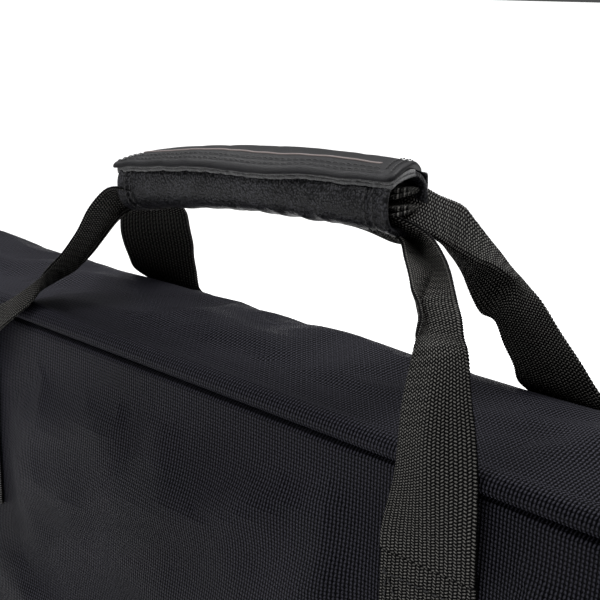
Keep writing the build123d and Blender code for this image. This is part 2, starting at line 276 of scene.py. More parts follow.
def oxford_cloth(name, pitch, dark, light, rough, bump):
    """Plain-woven nylon: round yarns that pass over and under, with fuller yarns one way."""
    shader = Shader(name, dark, rough, Specular_IOR_Level=0.03)
    shader.bsdf.inputs["Specular Tint"].default_value = (0.86, 0.86, 1.0, 1)
    u, v = shader.cloth()
    cu = shader.math("MULTIPLY", u, math.pi / pitch)
    cv = shader.math("MULTIPLY", v, math.pi / pitch)
    su, sv = shader.math("SINE", cu), shader.math("SINE", cv)
    ribs = shader.math("ABSOLUTE", su)
    weft = shader.math("ABSOLUTE", sv)
    over = shader.math("MULTIPLY", shader.math("COSINE", cu), shader.math("COSINE", cv))
    knuckle = shader.math("MULTIPLY", ribs, shader.math("ADD", shader.math("MULTIPLY", weft, 0.55), 0.45))
    height = shader.math("ADD", knuckle, shader.math("MULTIPLY", over, 0.12))
    broad = shader.noise(9.0, 3.0)
    tone = shader.math("MULTIPLY", height, shader.math("ADD", shader.math("MULTIPLY", broad, 0.7), 0.5))
    # The colour follows the yarn height: crowns are painted pale as a painted highlight (glints) and the gaps
    # between yarns dark as painted shade, varied at random by the broad noise.
    shader.color(tone, [(0.35, dark), (0.95, light)])
    shader.rough(broad, rough - 0.06, rough + 0.08)
    shader.bump(height, bump, 0.8)
    return shader.material


def webbing_cloth(name, dark, light, column=1.65, row=1.1):
    """Coarse webbing: columns of slanted yarn knuckles that lean in turn to either side."""
    shader = Shader(name, dark, 0.55, Specular_IOR_Level=0.03)
    u, v = shader.cloth()
    across = shader.math("DIVIDE", u, column)
    place = shader.math("FRACT", across)
    pair = shader.math("FRACT", shader.math("MULTIPLY", shader.math("FLOOR", across), 0.5))
    side = shader.math("SUBTRACT", shader.math("MULTIPLY", pair, 4.0), 1.0)
    lean = shader.math("MULTIPLY", shader.math("MULTIPLY", place, side), 0.45)
    phase = shader.math("ADD", shader.math("DIVIDE", v, row), lean)
    swing = shader.math("COSINE", shader.math("MULTIPLY", phase, 2 * math.pi))
    wave = shader.math("ADD", shader.math("MULTIPLY", swing, 0.5), 0.5)
    round_column = shader.math("SINE", shader.math("MULTIPLY", place, math.pi))
    full, wide = shader.math("POWER", wave, 0.8), shader.math("POWER", round_column, 0.6)
    knuckle = shader.math("MULTIPLY", full, wide)
    fibre = shader.noise(2600.0, 2.0)
    grey = shader.math("MULTIPLY", knuckle, shader.math("ADD", shader.math("MULTIPLY", fibre, 0.9), 0.5))
    # Knuckle crowns are painted pale as a painted highlight and the gaps between knuckles dark as painted shade,
    # varied at random by the fibre noise.
    shader.color(grey, [(0.4, dark), (0.95, light)])
    shader.rough(grey, 0.7, 0.45)
    shader.bump(knuckle, 0.32, 1.0)
    shader.bump(fibre, 0.05, 0.5)
    return shader.material


def leatherette(name, color, crown, grain, depth, rough):
    """Coated leatherette with a pebble grain whose crowns are painted paler as a painted highlight."""
    shader = Shader(name, color, rough, Specular_IOR_Level=0.1)
    cells = shader.node("ShaderNodeTexVoronoi", feature="SMOOTH_F1")
    cells.inputs["Scale"].default_value = grain
    cells.inputs["Smoothness"].default_value = 0.6
    shader.link(shader.position(), cells.inputs["Vector"])
    pebble = shader.math("SUBTRACT", 1.0, cells.outputs["Distance"])
    broad = shader.noise(60.0, 4.0)
    tone = shader.math("ADD", shader.math("MULTIPLY", pebble, 0.6), shader.math("MULTIPLY", broad, 0.4))
    # Pebble crowns painted paler: a painted highlight, mixed with random broad tone.
    shader.color(tone, [(0.45, color), (0.8, crown)])
    shader.rough(broad, rough - 0.08, rough + 0.1)
    shader.bump(shader.noise(300.0, 2.0), 0.1, 0.5)
    shader.bump(pebble, depth, 0.9)
    return shader.material


def thread_material(name, color):
    shader = Shader(name, color, 0.55, Specular_IOR_Level=0.3)
    ply = shader.node("ShaderNodeTexWave", wave_type="BANDS", bands_direction="DIAGONAL")
    ply.inputs["Scale"].default_value = 900.0
    shader.link(shader.position(), ply.inputs["Vector"])
    shader.color(ply.outputs["Fac"], [(0.0, tuple(c * 0.6 for c in color)), (1.0, color)])
    shader.bump(ply.outputs["Fac"], 0.08, 0.8)
    return shader.material


def fuzzy(name, dark, light):
    """Hook-and-loop pile: a rough field of tiny loops."""
    shader = Shader(name, dark, 0.85, Sheen_Weight=0.15, Sheen_Roughness=0.6)
    pile = shader.noise(1500.0, 4.0, 0.7)
    shader.color(pile, [(0.4, dark), (0.62, light)])
    shader.bump(pile, 0.5, 1.0)
    return shader.material


def plain_noise(name, dark, light, rough, scale, bump, **inputs):
    """A moulded, lacquered or foamed surface with fine mottling."""
    shader = Shader(name, dark, rough, **inputs)
    fine = shader.noise(scale, 3.0)
    broad = shader.noise(scale / 12, 2.0)
    tone = shader.math("ADD", shader.math("MULTIPLY", fine, 0.5), shader.math("MULTIPLY", broad, 0.5))
    shader.color(tone, [(0.35, dark), (0.7, light)])
    shader.rough(broad, rough - 0.08, rough + 0.1)
    shader.bump(fine, bump, 0.6)
    return shader.material


# In these cloths the paler colour is the painted highlight on the yarn crowns and the darker colour the painted
# shade in the gaps.
COVER = oxford_cloth("cover_oxford", 1.35, (0.0001, 0.0001, 0.0003), (0.029, 0.0285, 0.037), 0.42, 0.6)
LINING = oxford_cloth("lining_taffeta", 0.5, (0.01, 0.01, 0.013), (0.025, 0.025, 0.03), 0.42, 0.06)
TAPE = oxford_cloth("zip_tape_weave", 0.7, (0.004, 0.004, 0.0045), (0.014, 0.014, 0.015), 0.7, 0.12)
# The webbing's paler colour is the painted highlight on its knuckles, the darker colour the painted shade between
# them.
WEBBING = webbing_cloth("webbing_weave", (0.0006, 0.0006, 0.0007), (0.115, 0.112, 0.105))
SKIN = leatherette("grip_pebble", (0.002, 0.002, 0.0025), (0.034, 0.034, 0.039), 1150.0, 0.4, 0.38)
FLAP = leatherette("grip_smooth", (0.003, 0.003, 0.0036), (0.011, 0.0107, 0.0125), 2400.0, 0.09, 0.5)
THREAD = thread_material("stitch_thread", (0.008, 0.008, 0.009))
PALE_THREAD = thread_material("raised_cord", (0.14, 0.115, 0.11))
PILE = fuzzy("hook_and_loop_pile", (0.012, 0.012, 0.013), (0.06, 0.06, 0.062))
FOAM = plain_noise("closed_cell_foam", (0.02, 0.02, 0.021), (0.045, 0.045, 0.048), 0.85, 1800.0, 0.2)
COIL = plain_noise("coil_nylon", (0.012, 0.012, 0.013), (0.022, 0.022, 0.024), 0.38, 900.0, 0.02)
LACQUER = plain_noise("lacquered_metal", (0.018, 0.018, 0.02), (0.03, 0.03, 0.032), 0.3, 700.0, 0.01,
                      Metallic=0.5, Coat_Weight=0.3)


# ---------------------------------------------------------------- the bag's form

def arc_drop(radius, beyond):
    if beyond <= 0:
        return 0.0
    return radius - math.sqrt(max(radius * radius - beyond * beyond, 0.0))


def top_at(y):
    rise = min(max((y - NEAR) / (SHOULDER_Y - NEAR), 0.0), 1.0)
    return RIDGE_Z + (CROWN_Z - RIDGE_Z) * math.sin(rise * math.pi / 2) - arc_drop(SHOULDER_R, y - SHOULDER_Y)


def half_height(y):
    return (top_at(y) - arc_drop(BASE_R, y - FAR + BASE_R)) / 2


RING_TOP, RING_SIDE, RING_CORNER, RING_BASE = 210, 56, 10, 210


def ring(y, out=0.0, shift=0.0, base_limit=0.0):
    """The bag's outline at depth y, moved outwards by out, as a closed row of points."""
    top = top_at(y) + out
    base = max(arc_drop(BASE_R, y - (FAR - BASE_R)) - out, base_limit)
    half = HALF - arc_drop(END_R, y - (FAR - END_R)) + out
    radius = max(CORNER_R + out, 1.0)
    radius = min(radius, half - 1, (top - base) / 2)
    points = []
    corners = (
        (half - radius, top - radius, 90), (half - radius, base + radius, 0),
        (-half + radius, base + radius, -90), (-half + radius, top - radius, 180),
    )
    counts = (RING_SIDE, RING_BASE, RING_SIDE, RING_TOP)
    for k, (cx, cz, angle) in enumerate(corners):
        for i in range(RING_CORNER):
            a = math.radians(angle - 90 * i / RING_CORNER)
            points.append(Vector((cx + radius * math.cos(a), y + shift, cz + radius * math.sin(a))))
        a = math.radians(angle - 90)
        start = Vector((cx + radius * math.cos(a), y + shift, cz + radius * math.sin(a)))
        nx, nz, nangle = corners[(k + 1) % 4]
        b = math.radians(nangle)
        end = Vector((nx + radius * math.cos(b), y + shift, nz + radius * math.sin(b)))
        for i in range(counts[k]):
            points.append(start.lerp(end, i / counts[k]))
    return points


def wave(x, y, z, size, seed):
    return noise.noise(Vector((x / size + seed, y / size, z / size)))


def crease(px, pz, cx, cz, angle, length, width, height):
    """One soft fold: a long low ridge, or a trough where height is below zero."""
    a = math.radians(angle)
    along = (px - cx) * math.cos(a) + (pz - cz) * math.sin(a)
    across = -(px - cx) * math.sin(a) + (pz - cz) * math.cos(a)
    return height * math.exp(-((along / length) ** 2) - (across / width) ** 2)


# Folds of the plain panel near the handle: middle x, middle z, angle, half length, half width, height
NEAR_FOLDS = (
    (-60, 322, 14, 70, 9, 2.2), (-20, 300, 16, 80, 10, 2.4), (60, 330, 24, 46, 8, 2.2),
    (75, 300, 30, 60, 11, 2.6), (20, 268, 8, 90, 14, 2.6), (-120, 290, -12, 60, 12, 2.4),
    (170, 318, -28, 60, 12, 2.6), (210, 280, -18, 80, 14, 2.6),
)
# Folds of the top, with y in place of z
TOP_FOLDS = (
    (-70, -34, 6, 60, 8, 2.6), (20, -44, 2, 70, 5, 1.8), (-10, -20, -4, 90, 9, 2.4),
    (70, -26, 10, 40, 7, 2.2),
    (-150, -20, 12, 60, 12, 3.4), (-230, 0, -8, 50, 14, 3.6), (170, -18, -10, 60, 12, 3.0),
    (-110, 12, 4, 46, 9, 2.4), (30, 10, -3, 60, 9, 2.0), (150, 14, 0, 30, 9, 2.6),
)


def near_bulge(x, z):
    """How far the plain panel stands out of its nominal plane."""
    edge = min(HALF - abs(x), RIDGE_Z - z, z)
    bulge = 1.3 * sum(crease(x, z, *fold) for fold in NEAR_FOLDS)
    bulge += 2.2 * wave(x * 0.6, 0, z, 70, 3.1) + 1.0 * wave(x, 0, z, 26, 8.2)
    bulge += 2.4 * smooth(0, 70, edge)
    return 1.3 * smooth(4, 8, edge) + max(bulge, -0.6) * smooth(9, 42, edge)


def strap_calm(x, z):
    """Zero under the handle's sewn ends, where the panel is held flat, and one away from them."""
    calm = 1.0
    for middle in NEAR_ROOTS:
        inside = max(abs(x - middle) - WEB_WIDTH / 2 - 4, z - 352, 255 - z, 0)
        calm = min(calm, smooth(0, 22, inside))
    return calm


def near_y(x, z):
    return NEAR - near_bulge(x, z) * (0.12 + 0.88 * strap_calm(x, z))


def top_bulge(x, y):
    bulge = sum(crease(x, y, *fold) for fold in TOP_FOLDS)
    bulge += 2.2 * wave(x * 0.5, y, 0, 60, 5.5) + 0.9 * wave(x, y, 0, 22, 1.7)
    return max((bulge - 0.4) * (1 - 0.55 * smooth(-6, 20, y)), -0.6)


def round_the_corner(point):
    """Away from the bag beside its ends and corners; zero where the outline is straight."""
    along = max(abs(point.x) - CORNER_X, 0) * math.copysign(1, point.x)
    return Vector((along, 0, max(point.z - CORNER_TOP, 0) - max(CORNER_LOW - point.z, 0)))


def make_gusset():
    """The top, ends and underside as one sheet, with the rolled seam along the plain panel."""
    roll = ((-53.6, -4.6), (-55.8, -4.6), (-57.8, -3.9), (-58.7, -2.5), (-58.6, -0.9), (-57.7, 1.0),
            (-56.1, 2.3), (-54.0, 2.8), (-51.8, 2.3), (-49.6, 0.9), (-47.6, 0.0))
    depths = [(y, out) for y, out in roll]
    count = 25
    depths += [(lerp(-43.5, ZIP_Y - ZIP_GAP, k / count), 0.25) for k in range(count + 1)]
    rows = []
    for y, out in depths:
        row = []
        for point in ring(max(y, NEAR), 0.0):
            lift = smooth(1, 26, point.z)
            away = round_the_corner(point)
            if away.length < 1e-6:
                away = Vector((0, 0, 1 if point.z > RIDGE_Z / 2 else -1))
            away.normalize()
            row.append(Vector((point.x, y, point.z)) + away * out * lift)
        rows.append(row)
    normals = normals_of(rows, True)
    for j, row in enumerate(rows):
        hold = smooth(-47, -26, depths[j][0]) * (1 - smooth(24, 35, depths[j][0]))
        for i, point in enumerate(row):
            up = smooth(2, 60, point.z)
            amount = top_bulge(point.x, point.y) if point.z > 300 else 1.0 + 1.6 * wave(*point, 45, 2.0)
            normal = normals[j][i]
            if normal.dot(Vector((point.x / HALF, 0, (point.z - 180) / 180))) < 0:
                normal = -normal
            row[i] = point + normal * amount * hold * up
    ring_v = [0.0]
    for a, b in zip(rows, rows[1:]):
        ring_v.append(ring_v[-1] + (b[-20] - a[-20]).length)

    def cloth_place(i, j, p):
        at_end = abs(p.x) > CORNER_X
        return p.x + 0.4 * abs(p.z - RIDGE_Z) * at_end, ring_v[j] + (p.z if at_end else 0)

    gusset = grid_object("cover_gusset", rows, COVER, closed=True, uv=cloth_place)

    def outward(point):
        return round_the_corner(point) + Vector((0, 0, 0.1))

    def hold(point):
        sewn = max(abs(abs(point.x) - 112) - 26, 0) + max(6 - point.y, 0)
        tab = max(abs(abs(point.x) - 490) - 12, 0) + max(270 - point.z, point.z - 316, 0)
        return max(1 - smooth(-44, -26, point.y), smooth(14, 30, point.y), 1 - smooth(6, 30, point.z),
                   1 - smooth(0, 12, sewn), 1 - smooth(0, 14, tab))

    settle(gusset, hold, outward, 9.0, slack=0.007, most=2.0, least=-0.5)
    apply_modifier(gusset, "SOLIDIFY", thickness=1.0 * MM, offset=-1.0)
    return gusset


def upright(i, j, p):
    """Places on an upright panel's cloth, in millimetres."""
    return p.x, p.z


def panel_rows(y, insets, shape):
    """Rows of a panel from its outline in to its middle line; shape(x, z) gives the depth."""
    rows = []
    for inset in insets:
        rows.append([Vector((p.x, shape(p.x, p.z, inset), p.z)) for p in ring(y, -inset)])
    return rows


def insets_to_middle(rim, step, half):
    """Insets from a rim to where a panel's outline closes on its middle line."""
    count = max(int((half - rim[-1]) / step), 1)
    return list(rim) + [lerp(rim[-1], half, k / count) for k in range(1, count + 1)]


def weld(obj):
    mesh = bmesh.new()
    mesh.from_mesh(obj.data)
    bmesh.ops.remove_doubles(mesh, verts=mesh.verts, dist=0.05 * MM)
    mesh.to_mesh(obj.data)
    mesh.free()


def settle(obj, hold, outward, seed, slack=0.006, push=0.25, frames=16, most=2.4, least=-0.3):
    """Lets cloth that is cut a little large settle over the foam, held where hold(point) is one."""
    weld(obj)
    mesh = obj.data
    before = [v.co.copy() for v in mesh.vertices]
    group = obj.vertex_groups.new(name="hold")
    for vertex in mesh.vertices:
        point = vertex.co / MM
        group.add([vertex.index], min(max(hold(point), 0.0), 1.0), "REPLACE")
        loose = 1 - min(max(hold(point), 0.0), 1.0)
        vertex.co += Vector(outward(point)).normalized() * (0.4 * MM * loose * wave(*point, 45, seed))
    cloth = obj.modifiers.new("cloth", "CLOTH")
    cloth.settings.quality = 4
    cloth.settings.mass = 0.25
    cloth.settings.tension_stiffness = 25
    cloth.settings.compression_stiffness = 25
    cloth.settings.shear_stiffness = 12
    cloth.settings.bending_stiffness = 25.0
    cloth.settings.air_damping = 3.0
    cloth.settings.shrink_min = -slack
    cloth.settings.shrink_max = -slack
    cloth.settings.use_pressure = True
    cloth.settings.uniform_pressure_force = push
    cloth.settings.effector_weights.gravity = 0
    cloth.settings.vertex_group_mass = "hold"
    cloth.settings.pin_stiffness = 5
    cloth.collision_settings.use_collision = False
    scene = bpy.context.scene
    for step in range(1, frames + 1):
        scene.frame_set(step)
    settled = obj.evaluated_get(bpy.context.evaluated_depsgraph_get()).data
    places = [v.co.copy() for v in settled.vertices]
    obj.modifiers.clear()
    obj.vertex_groups.clear()
    scene.frame_set(1)
    for vertex, start, end in zip(mesh.vertices, before, places):
        move = (end - start) / MM
        out = Vector(outward(start / MM)).normalized()
        along = min(max(move.dot(out), least), most)
        side = move - out * move.dot(out)
        if side.length > 1.5:
            side *= 1.5 / side.length
        vertex.co = start + (out * along + side) * MM
    mesh.update()


def make_near_panel():
    insets = insets_to_middle((4.4, 4.8, 5.4, 6.2, 7.4, 9.0, 11.2, 14.0, 17.5), 5.0, RIDGE_Z / 2)

    def shape(x, z, inset):
        groove = 3.0 * math.exp(-((inset - 4.4) / 1.4) ** 2)
        return near_y(x, z) + groove

    def hold(point):
        edge = min(HALF - abs(point.x), RIDGE_Z - point.z, point.z)
        return max(1 - smooth(12, 34, edge), 1 - strap_calm(point.x, point.z))

    rows = panel_rows(NEAR, insets, shape)
    panel = grid_object("cover_near_panel_cloth", rows, COVER, closed=True, uv=upright)
    settle(panel, hold, lambda p: (0, -1, 0), 3.0)
    apply_modifier(panel, "SOLIDIFY", thickness=1.0 * MM, offset=1.0)
    return panel


def lid_bulge(x, z):
    bulge = 1.6 + 1.8 * wave(x * 0.7, 9, z, 80, 4.4) + 0.9 * wave(x, 3, z, 28, 6.1)
    edge = min(470 - abs(x), 330 - z, z - 16)
    return max(bulge + 2.5 * smooth(0, 80, edge), 0.1) * smooth(0, 34, edge)


def pocket_calm(x, z):
    inside = max(abs(x) - 322, 58 - z, z - 278, 0)
    return smooth(0, 30, inside)


def make_lid():
    """The lid's cover: a rolled rim from the zip to the flat face."""
    rows = []
    steps = 9
    start = math.asin((ZIP_Y + ZIP_GAP - SHOULDER_Y) / SHOULDER_R)
    for k in range(steps):
        y = SHOULDER_Y + SHOULDER_R * math.sin(lerp(start, math.radians(86), k / (steps - 1)))
        rows.append([Vector((p.x, y, max(p.z, LID_LOW))) for p in ring(y, 0.0)])
    edge_y = rows[-1][0].y
    for inset in insets_to_middle((2.5, 5, 8, 12), 5.2, half_height(edge_y)):
        row = []
        for p in ring(edge_y, -inset):
            z = max(p.z, LID_LOW + inset * 0.2)
            bulge = lid_bulge(p.x, z) * (0.05 + 0.95 * pocket_calm(p.x, z))
            y = lerp(edge_y, FAR, smooth(0, 14, inset)) + bulge
            row.append(Vector((p.x, y, z)))
        rows.append(row)
    def hold(point):
        rim = max(470 - abs(point.x), 0)
        edge = min(rim, 330 - point.z, point.z - 18)
        return max(1 - smooth(4, 16, edge), 1 - pocket_calm(point.x, point.z))

    lid = grid_object("cover_lid_cloth", rows, COVER, closed=True, uv=lambda i, j, p: (p.x, p.z + p.y))
    settle(lid, hold, lambda p: (0, 1, 0), 6.0, slack=0.005, most=2.0)
    apply_modifier(lid, "SOLIDIFY", thickness=1.0 * MM, offset=-1.0)
    return lid


# ---------------------------------------------------------------- stitching

def stitch_row(name, path, normal, pitch=3.4, length=2.5, radius=0.34, material=THREAD):
    """Short rounded stitches along a path; normal(point) gives the way out of the cloth."""
    verts, faces = [], []
    carry = 0.0
    for a, b in zip(path, path[1:]):
        a, b = Vector(a), Vector(b)
        span = (b - a).length
        if span < 1e-6:
            continue
        ahead = (b - a) / span
        place = carry
        while place + length <= span + pitch * 0.5:
            out = Vector(normal(a)).normalized()
            side = ahead.cross(out).normalized()
            base = len(verts)
            for k, (reach, scale, lift) in enumerate(
                    ((0.0, 0.35, -0.12), (0.2, 0.95, 0.2), (0.5, 1.0, 0.32), (0.8, 0.95, 0.2), (1.0, 0.35, -0.12))):
                centre = a + ahead * (place + length * reach) + out * lift
                for m in range(6):
                    angle = math.pi * m / 3
                    verts.append(centre + (side * math.cos(angle) + out * math.sin(angle)) * radius * scale)
                if k:
                    for m in range(6):
                        n = (m + 1) % 6
                        low, high = base + (k - 1) * 6, base + k * 6
                        faces.append((low + m, low + n, high + n, high + m))
            faces.append(tuple(base + m for m in reversed(range(6))))
            faces.append(tuple(base + 24 + m for m in range(6)))
            place += pitch
        carry = place - span
    return make_object(name, verts, faces, None, material)


# ---------------------------------------------------------------- webbing

def even_places(curves, step, samples=400):
    """Curve parameters that divide the mean of several curves into even steps."""
    reached = [0.0]
    for k in range(samples):
        spans = [(catmull(c, (k + 1) / samples) - catmull(c, k / samples)).length for c in curves]
        reached.append(reached[-1] + sum(spans) / len(spans))
    count = max(round(reached[-1] / step), 8)
    places, k = [], 0
    for j in range(count + 1):
        goal = reached[-1] * j / count
        while k < samples - 1 and reached[k + 1] < goal:
            k += 1
        places.append((k + (goal - reached[k]) / max(reached[k + 1] - reached[k], 1e-6)) / samples)
    return places


def band(name, stations, columns=48, step=0.42, relief=0.11, thick=1.5, material=WEBBING, sharp=1.7):
    """Woven webbing through stations of (edge, middle, edge), each a point, with real yarn relief."""
    edges_a, middles, edges_b = ([station[k] for station in stations] for k in range(3))
    places = even_places((edges_a, middles, edges_b), step)
    count = len(places) - 1
    rows = []
    for j, t in enumerate(places):
        a, m, b = catmull(edges_a, t), catmull(middles, t), catmull(edges_b, t)
        row = []
        for i in range(columns + 1):
            s = i / columns
            bend = m - (a + b) / 2
            row.append(a.lerp(b, s) + bend * (1 - math.hypot(abs(2 * s - 1) ** sharp, 0.06)) / 0.94)
        rows.append(row)
    normals = normals_of(rows, False)
    front, back = [], []
    for j, row in enumerate(rows):
        line, under = [], []
        for i, point in enumerate(row):
            yarn = relief * (1 if (i + j) % 2 else -1)
            rim = min(i, columns - i)
            half = thick / 2 * (1.0 if rim > 1 else (0.8 if rim else 0.35))
            sway = Vector((0, 0, 0))
            if rim == 0:
                inward = (row[1] - row[0]) if i == 0 else (row[-2] - row[-1])
                sway = inward.normalized() * (0.18 if j % 3 == 0 else -0.08)
            line.append(point + normals[j][i] * (half + yarn) + sway)
            under.append(point - normals[j][i] * (half + yarn * 0.8) + sway)
        front.append(line)
        back.append(under)
    loop = [line + under[::-1] for line, under in zip(front, back)]
    wide = [k * WEB_WIDTH / columns for k in range(columns + 1)]
    across = wide + wide[::-1]
    return grid_object(name, loop, material, closed=True, cap=True, uv=lambda i, j, p: (across[i], j * step))


def flat_stations(path, wide, width=WEB_WIDTH):
    """Stations of a flat band along a path; wide is its width direction."""
    stations = []
    for point in path:
        point = Vector(point)
        half = Vector(wide).normalized() * width / 2
        stations.append((point - half, point, point + half))
    return stations


# Free legs as (edge, middle, edge). The first station is inside the grip.
NEAR_RIGHT = (
    ((54, -29, 420), (54, -20, 418), (54, -27, 428)),
    ((68, -27, 419), (63, -16, 414), (78, -24, 423)),
    ((76, -27, 417.5), (71, -14, 413), (87, -24, 419.5)),
    ((82.5, -32, 413.5), (80, -19, 411), (98, -31, 416)),
    ((90.5, -39, 410), (90, -26, 409), (106, -38, 413.5)),
    ((97, -45, 407.5), (94.5, -34, 405.5), (113.5, -45, 410.5)),
    ((103, -49, 405), (97.5, -41, 403), (118, -49, 408)),
    ((107.5, -53, 402), (104, -47, 400), (123.5, -54, 405.5)),
    ((109.5, -57, 398), (111, -53, 397.5), (127, -57, 401)),
    ((110, -59, 392), (119.5, -60, 394.5), (130.5, -59, 397)),
    ((108, -60, 377.5), (122.5, -65, 381.5), (133.5, -60, 384.5)),
    ((107, -60, 364.5), (122, -65, 369), (136, -60, 373)),
    ((105.5, -59.5, 352), (121, -63, 354), (137.5, -59.5, 358)),
    ((101, -58.8, 335), (119, -59, 335), (138, -58.8, 335)),
    ((100, -58.4, 326), (119, -58.4, 326), (138, -58.4, 326)),
)
NEAR_LEFT = (
    ((-56, -32, 415), (-56, -22, 411), (-56, -26, 422)),
    ((-67, -34, 416), (-68, -19, 410), (-75, -23, 406)),
    ((-72, -36, 416), (-76, -19, 408), (-81, -24, 402)),
    ((-76, -38, 413.5), (-83, -20, 405), (-85, -26, 397.5)),
    ((-80, -42, 406.5), (-87, -25, 399), (-88, -29, 391.5)),
    ((-84, -45, 397), (-92, -30, 390), (-95, -31, 383)),
    ((-89, -49, 387.5), (-100, -35, 381), (-104, -32, 375)),
    ((-92, -53, 382), (-102, -42, 377), (-111, -37, 370)),
    ((-96, -56, 376.5), (-97, -54, 373), (-114, -44, 366)),
    ((-102, -59, 371), (-99, -59, 366), (-119, -49, 361)),
    ((-112, -60.5, 364.5), (-108, -63, 357.5), (-128, -54, 354)),
    ((-124, -60.5, 357), (-124, -63.5, 347), (-145, -57, 346.5)),
    ((-131, -59, 340), (-149, -60, 338), (-167, -59, 341)),
    ((-131, -58.4, 326), (-150, -58.4, 326), (-169, -58.4, 326)),
)
FAR_RIGHT = (
    ((54, -12, 430), (54, -20, 428), (54, -14, 422)),
    ((62, -2, 431), (69, -15, 421), (63, -9, 421)),
    ((69, 2, 428), (78, -11, 417), (71.5, -4, 417)),
    ((73.5, 9, 424.5), (80.5, -4, 412.5), (73, 4, 408.5)),
    ((77, 12, 419.5), (83, -1, 410.5), (74, 7, 404.5)),
    ((81, 15, 413.5), (87, 2, 408), (75, 10, 399.5)),
    ((85, 17, 408.5), (90, 5, 406.5), (76, 12, 394.5)),
    ((89.5, 18, 403.5), (93, 8, 404), (77.5, 14, 389.5)),
    ((94.5, 18, 400), (95, 12, 400), (81, 14, 386)),
    ((103, 18, 394.5), (97, 13, 391), (87, 14, 384.5)),
    ((110, 20, 385), (102, 16, 382), (90.5, 15, 377)),
    ((118, 22, 375), (107, 19, 372), (94, 17, 369.5)),
    ((124, 25, 365.5), (110, 22, 363.5), (94, 20, 363.5)),
    ((130, 28, 358), (112, 27, 358), (93, 27, 358.5)),
    ((131, 35, 353), (112, 35, 353), (93, 35, 353)),
)
FAR_LEFT = (
    ((-58, -25, 412), (-58, -18, 413), (-58, -9, 414)),
    ((-74, -20, 409), (-72, -10, 410), (-70, 2, 410)),
    ((-90.5, -16, 404), (-86, -3, 404.5), (-81, 9, 403)),
    ((-97, -13, 398), (-89, -1, 399), (-81.5, 12, 398)),
    ((-105.5, -7, 389.5), (-97, 6, 389.5), (-88, 19, 389.5)),
    ((-111.5, -1, 381.5), (-101.5, 11, 381.5), (-90.5, 23, 381.5)),
    ((-116, 5, 374), (-104.5, 15, 374.5), (-93.5, 26, 374.5)),
    ((-122, 12, 367), (-107.5, 19, 367), (-94, 28, 367)),
    ((-129, 22, 361), (-111, 25, 360), (-93, 29, 358.5)),
    ((-131, 35, 353), (-112, 35, 353), (-93, 35, 353)),
)


def make_legs():
    legs = {
        "strap_near_leg_right": (NEAR_RIGHT, 0.13, (0, -0.060, 0.344), (0, -0.040, 0.408)),
        "strap_near_leg_left": (NEAR_LEFT, 0.14, (0, -0.060, 0.344), (0, -0.036, 0.402)),
        "strap_far_leg_right": (FAR_RIGHT, 0.12, (0, 0.026, 0.362), (0, 0.0, 0.412)),
        "strap_far_leg_left": (FAR_LEFT, 0.10, (0, 0.026, 0.362), (0, 0.0, 0.398)),
    }
    for node, (stations, length, start, end) in legs.items():
        leg = band(node + "_webbing", stations, sharp=1.15)
        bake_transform(leg)
        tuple(start)
        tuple(end)
        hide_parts(node)


def crossed_box(half, low, high):
    """The corners of a stitched box with a cross in it, in sewing order."""
    return [(-half, low), (half, low), (half, high), (-half, high),
            (-half, low), (half, high), (half, low), (-half, high)]


def on_shoulder(x, degrees, lift):
    """A point that stands off the far shoulder, so many degrees down from its top."""
    radius, a = SHOULDER_R + lift, math.radians(degrees)
    return Vector((x, SHOULDER_Y + radius * math.sin(a), SHOULDER_Z + radius * math.cos(a)))


def make_sewn_ends():
    """The flat sewn ends with their box stitching."""
    near_parts, far_parts, near_threads, far_threads = [], [], [], []
    for middle in NEAR_ROOTS:
        path = [(middle, near_y(middle, z) - 0.9, z) for z in (262, 275, 290, 305, 320, 329)]
        near_parts.append(band("near_end", flat_stations(path, (1, 0, 0))))
        low, high, half = 265.5, 318.0, 16.0
        corners = crossed_box(half, low, high)
        line = [(middle + x, near_y(middle, z) - 1.75, z) for x, z in corners]
        near_threads.append(stitch_row("near_stitch", line, lambda p: (0, -1, 0)))
    for middle in FAR_ROOTS:
        path = [on_shoulder(middle, degrees, 1.0) for degrees in (31, 33, 35, 37, 39, 41)]
        far_parts.append(band("far_end", flat_stations(path, (1, 0, 0))))
        corners = crossed_box(16, 33, 40)
        line = [on_shoulder(middle + x, degrees, 1.95) for x, degrees in corners]
        far_threads.append(stitch_row("far_stitch", line, lambda p: (0, p[1] - SHOULDER_Y, p[2] - SHOULDER_Z)))
    for name, parts, threads, node, length in (
            ("strap_near_ends_webbing", near_parts, near_threads, "strap_near_sewn_ends", 0.068),
            ("strap_far_ends_webbing", far_parts, far_threads, "strap_far_sewn_ends", 0.0105)):
        ends = join(name, parts)
        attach(ends, "shell")
        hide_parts(node)
        stitches = join(name.replace("webbing", "stitching"), threads)
        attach(stitches, "shell")


# ---------------------------------------------------------------- the grip

def grip_point(x, y, z, slant=0.22):
    """A point of the grip, which leans along the bag, arches a little and is cut askew at its right end."""
    x -= slant * (y + 15) * smooth(25, 75, x)
    c, s = math.cos(GRIP_TILT), math.sin(GRIP_TILT)
    z += 4.2 * (1 - (x / 76) ** 2) - 1.0
    return GRIP + Vector((x * c - z * s, y, x * s + z * c))


def place_in_grip(rows, slant=0.22):
    return [[grip_point(*p, slant) for p in row] for row in rows]


def sleeve_ring(inset, turns=96):
    """A cross-section of the sleeve: a rounded closed loop, a little lower above its middle than below it."""
    row = []
    for k in range(turns):
        a = 2 * math.pi * k / turns
        wide, tall = 14.6 - inset, (10.4 if math.sin(a) > 0 else 10.6) - inset
        power = 0.8
        y = wide * math.copysign(abs(math.cos(a)) ** power, math.cos(a))
        z = -1.4 + tall * math.copysign(abs(math.sin(a)) ** power, math.sin(a))
        row.append((y, z, a))
    return row


